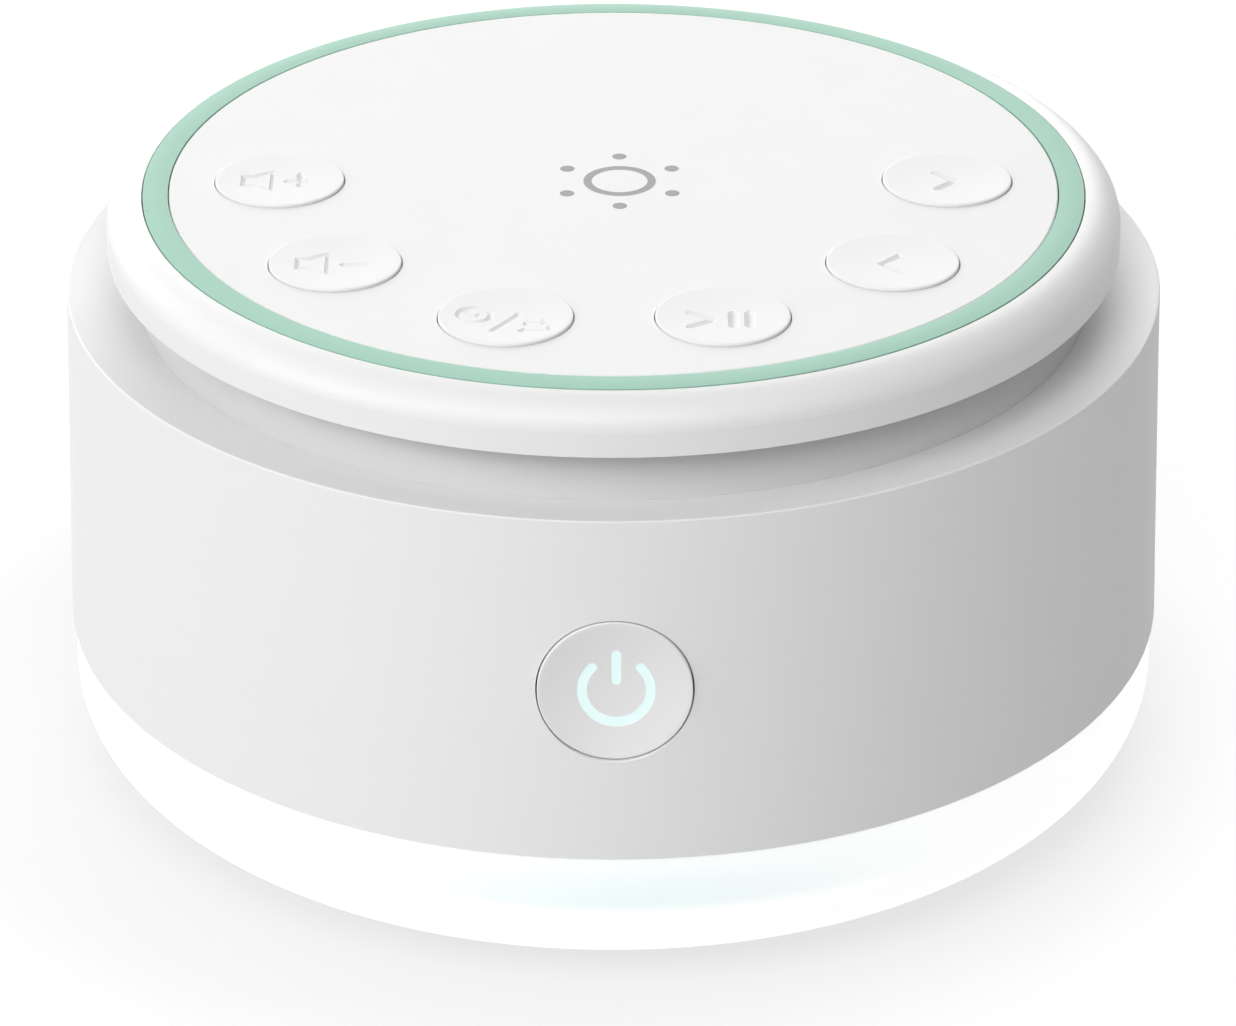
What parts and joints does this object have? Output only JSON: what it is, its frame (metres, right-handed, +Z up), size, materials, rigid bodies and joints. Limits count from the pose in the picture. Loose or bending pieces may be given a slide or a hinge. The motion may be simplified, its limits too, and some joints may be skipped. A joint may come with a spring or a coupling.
{
  "type": "white noise sound machine",
  "caption": "Round table-top white noise machine: button cap over an open sound groove, side power button, glowing frosted base and an upward-firing speaker inside.",
  "frame": {"origin": "on the machine's axis, on the table top that its feet stand on", "axes": "+Z up along the axis of the round body, -Y towards the power button at the front, +X to its right"},
  "size_m": [0.106, 0.106, 0.0582],
  "materials": {
    "shell_white": "fine satin moulding",
    "cap_white": "fine satin moulding",
    "panel_white": "satin with grey print",
    "button_white": "satin with recessed icons",
    "collar_white": "satin",
    "ring_mint": "satin",
    "bowl_glow": "frosted, lit from inside",
    "symbol_glow": "clear, lit from behind",
    "foot_rubber": "matt",
    "frame_plastic": "fine moulded texture",
    "board_green": "solder mask",
    "connector_ivory": "smooth",
    "chip_black": "matt",
    "can_aluminium": "drawn",
    "led_cream": "silicone-filled",
    "screw_steel": "zinc plated",
    "inlet_steel": "nickel plated",
    "ribbon_film": "flat film",
    "pad_carbon": "conductive foam",
    "mesh_fabric": "fine weave",
    "basket_steel": "black paint",
    "pole_steel": "zinc plated",
    "magnet_ferrite": "ground ferrite",
    "coil_copper": "enamelled copper",
    "cone_paper": "pressed pulp",
    "spider_cloth": "resin-dipped cloth",
    "surround_rubber": "matt",
    "gasket_foam": "foam",
    "lead_red": "insulation"
  },
  "bodies": {
    "housing": {"body_shell": "shell_white", "diffuser_bowl": "bowl_glow", "base_plate": "frame_plastic", "rubber_feet": "foot_rubber", "base_screws": "screw_steel", "sound_collar": "collar_white", "acoustic_mesh": "mesh_fabric", "cap_shell": "cap_white", "accent_ring": "ring_mint", "top_panel": "panel_white", "cap_screws": "screw_steel", "button_board": "board_green", "button_board_screws": "screw_steel", "button_switches": "chip_black", "touch_pad": "pad_carbon", "ribbon_sockets": "connector_ivory", "ribbon_cable": "ribbon_film", "chassis": "frame_plastic", "chassis_screws": "screw_steel", "main_board": "board_green", "main_board_screws": "screw_steel", "usb_c_socket": "inlet_steel", "controller_chip": "chip_black", "amplifier_chip": "chip_black", "filter_capacitors": "can_aluminium", "board_connectors": "connector_ivory", "power_board": "board_green", "power_switch": "chip_black", "power_leds": "led_cream", "led_board": "board_green", "ring_leds": "led_cream", "led_board_screws": "screw_steel", "speaker_frame": "basket_steel", "speaker_yoke": "pole_steel", "speaker_magnet": "magnet_ferrite", "speaker_front_plate": "pole_steel", "speaker_spider": "spider_cloth", "speaker_surround": "surround_rubber", "speaker_gasket": "gasket_foam", "speaker_screws": "screw_steel", "speaker_leads": "lead_red"},
    "volume_up_key": {"volume_up_button": "button_white", "volume_up_plunger": "connector_ivory"},
    "volume_down_key": {"volume_down_button": "button_white", "volume_down_plunger": "connector_ivory"},
    "timer_key": {"timer_button": "button_white", "timer_plunger": "connector_ivory"},
    "play_pause_key": {"play_pause_button": "button_white", "play_pause_plunger": "connector_ivory"},
    "previous_key": {"previous_button": "button_white", "previous_plunger": "connector_ivory"},
    "next_key": {"next_button": "button_white", "next_plunger": "connector_ivory"},
    "power_key": {"power_button": "button_white", "power_symbol_lens": "symbol_glow", "power_plunger": "connector_ivory"},
    "diaphragm": {"speaker_cone": "cone_paper", "speaker_dust_cap": "cone_paper", "speaker_voice_coil": "coil_copper"}
  },
  "joints": [
    {"name": "volume_up_press", "type": "slide", "parent": "housing", "child": "volume_up_key", "axis": [0, 0, -1], "range_m": [0, 0.0005], "stiffness_N_per_m": 800, "springref_m": -0.0005},
    {"name": "volume_down_press", "type": "slide", "parent": "housing", "child": "volume_down_key", "axis": [0, 0, -1], "range_m": [0, 0.0005], "stiffness_N_per_m": 800, "springref_m": -0.0005},
    {"name": "timer_press", "type": "slide", "parent": "housing", "child": "timer_key", "axis": [0, 0, -1], "range_m": [0, 0.0005], "stiffness_N_per_m": 800, "springref_m": -0.0005},
    {"name": "play_pause_press", "type": "slide", "parent": "housing", "child": "play_pause_key", "axis": [0, 0, -1], "range_m": [0, 0.0005], "stiffness_N_per_m": 800, "springref_m": -0.0005},
    {"name": "previous_press", "type": "slide", "parent": "housing", "child": "previous_key", "axis": [0, 0, -1], "range_m": [0, 0.0005], "stiffness_N_per_m": 800, "springref_m": -0.0005},
    {"name": "next_press", "type": "slide", "parent": "housing", "child": "next_key", "axis": [0, 0, -1], "range_m": [0, 0.0005], "stiffness_N_per_m": 800, "springref_m": -0.0005},
    {"name": "power_press", "type": "slide", "parent": "housing", "child": "power_key", "axis": [0, 1, 0], "range_m": [0, 0.0006], "stiffness_N_per_m": 800, "springref_m": -0.0005},
    {"name": "cone_travel", "type": "slide", "parent": "housing", "child": "diaphragm", "axis": [0, 0, 1], "range_m": [-0.001, 0.001], "stiffness_N_per_m": 1200, "deforming": ["speaker_surround", "speaker_spider"]}
  ]
}
